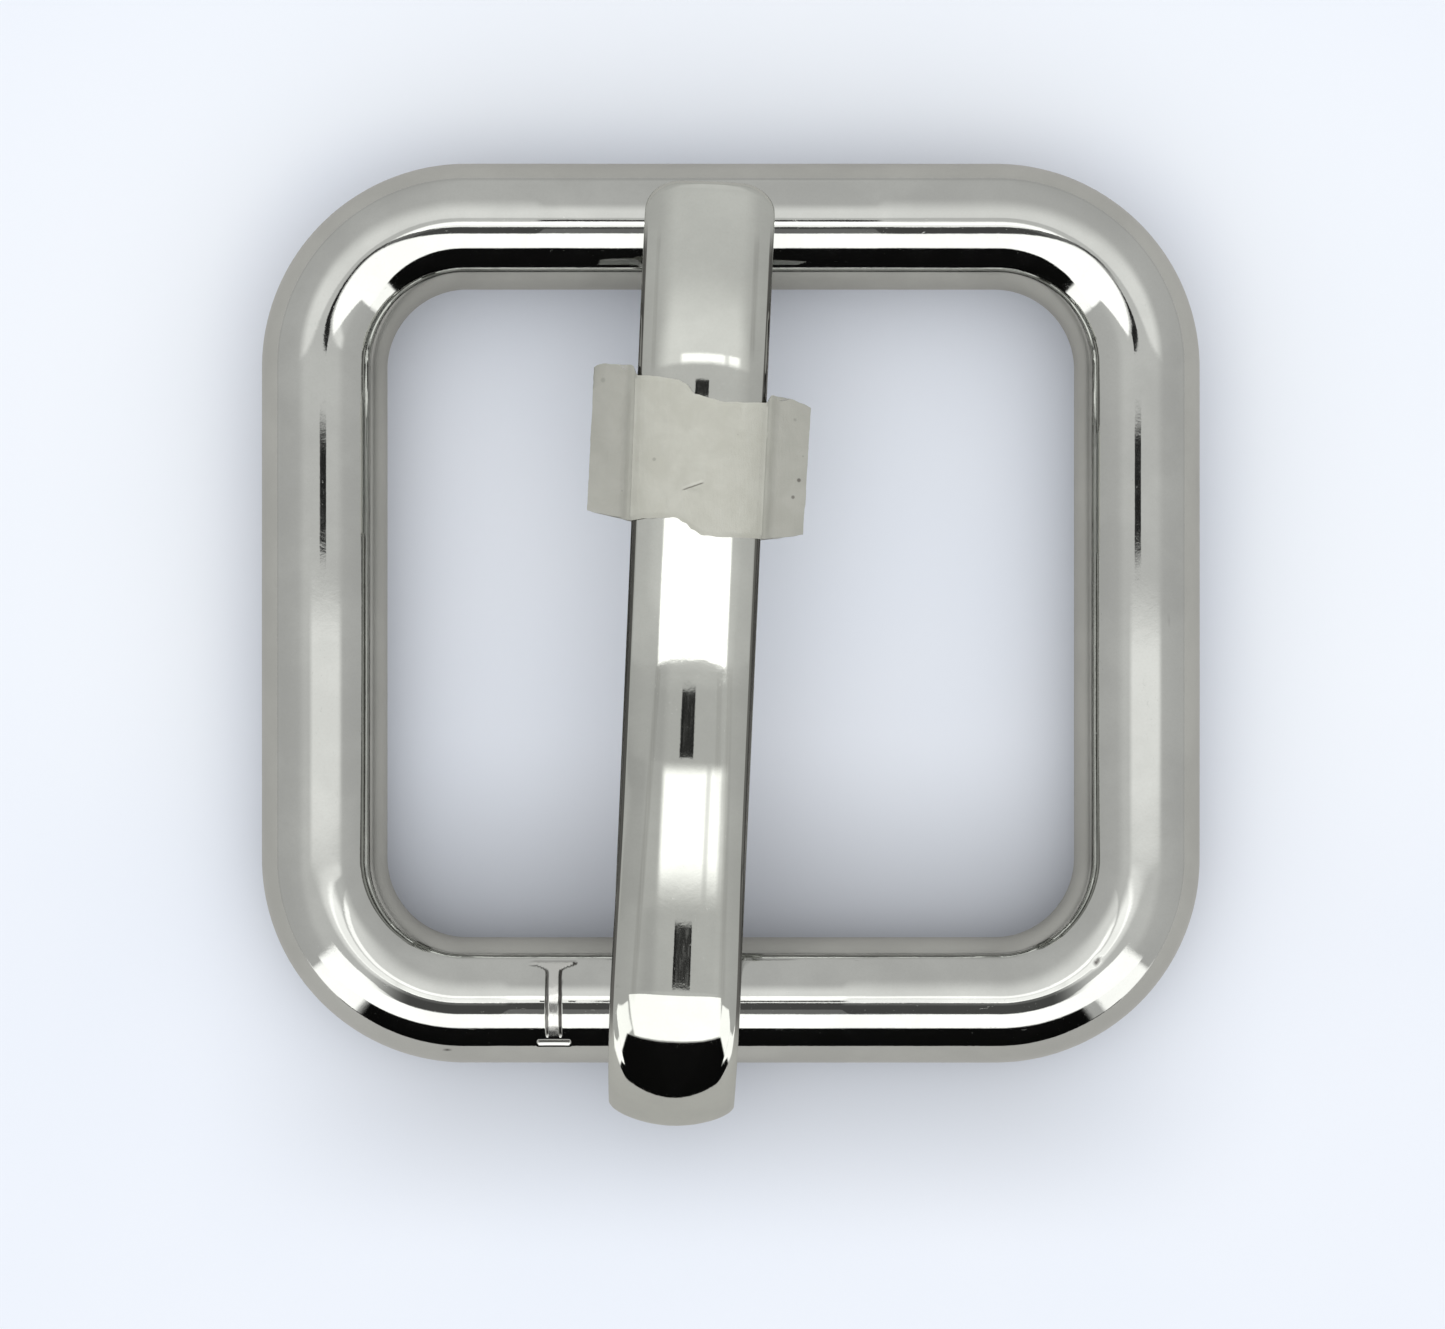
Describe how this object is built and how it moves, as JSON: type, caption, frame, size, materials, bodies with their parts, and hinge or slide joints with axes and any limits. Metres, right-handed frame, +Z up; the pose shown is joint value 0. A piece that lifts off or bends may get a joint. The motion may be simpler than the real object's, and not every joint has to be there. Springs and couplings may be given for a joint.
{
  "type": "prong buckle",
  "caption": "Nickel-plated heel-bar prong buckle for a 30 mm strap: welded round-wire frame, curved cast prong that swings on the heel bar, and a strip of protective tape round the prong.",
  "frame": {"origin": "the middle of the whole outline, frame and overhanging prong nose together, level with the lowest point, the prong's claw under the heel bar; the frame's opening is centred 1.24 mm towards +Y of it", "axes": "+Z up out of the buckle's face; +Y from the front bar that the prong rests on towards the heel bar that it swings on; +X along the bars, to the right seen from above; the frame lies in a horizontal plane"},
  "size_m": [0.0408, 0.0416, 0.01],
  "materials": {
    "nickel_frame": "polished bright nickel plate on steel wire, neutral grey, with faint drawing lines and scuffs",
    "nickel_prong": "polished bright nickel plate on a cast prong, slightly wavy",
    "milky_tape": "milky translucent plastic film, satin, slightly wrinkled"
  },
  "bodies": {
    "frame": {"frame": "nickel_frame"},
    "prong": {"prong": "nickel_prong", "tape": "milky_tape"}
  },
  "joints": [
    {"name": "prong_swing", "type": "hinge", "parent": "frame", "child": "prong", "pos_m": [-0.0009, 0.01812, 0.00396], "axis": [-1, 0, 0], "range_deg": [0, 164]}
  ]
}
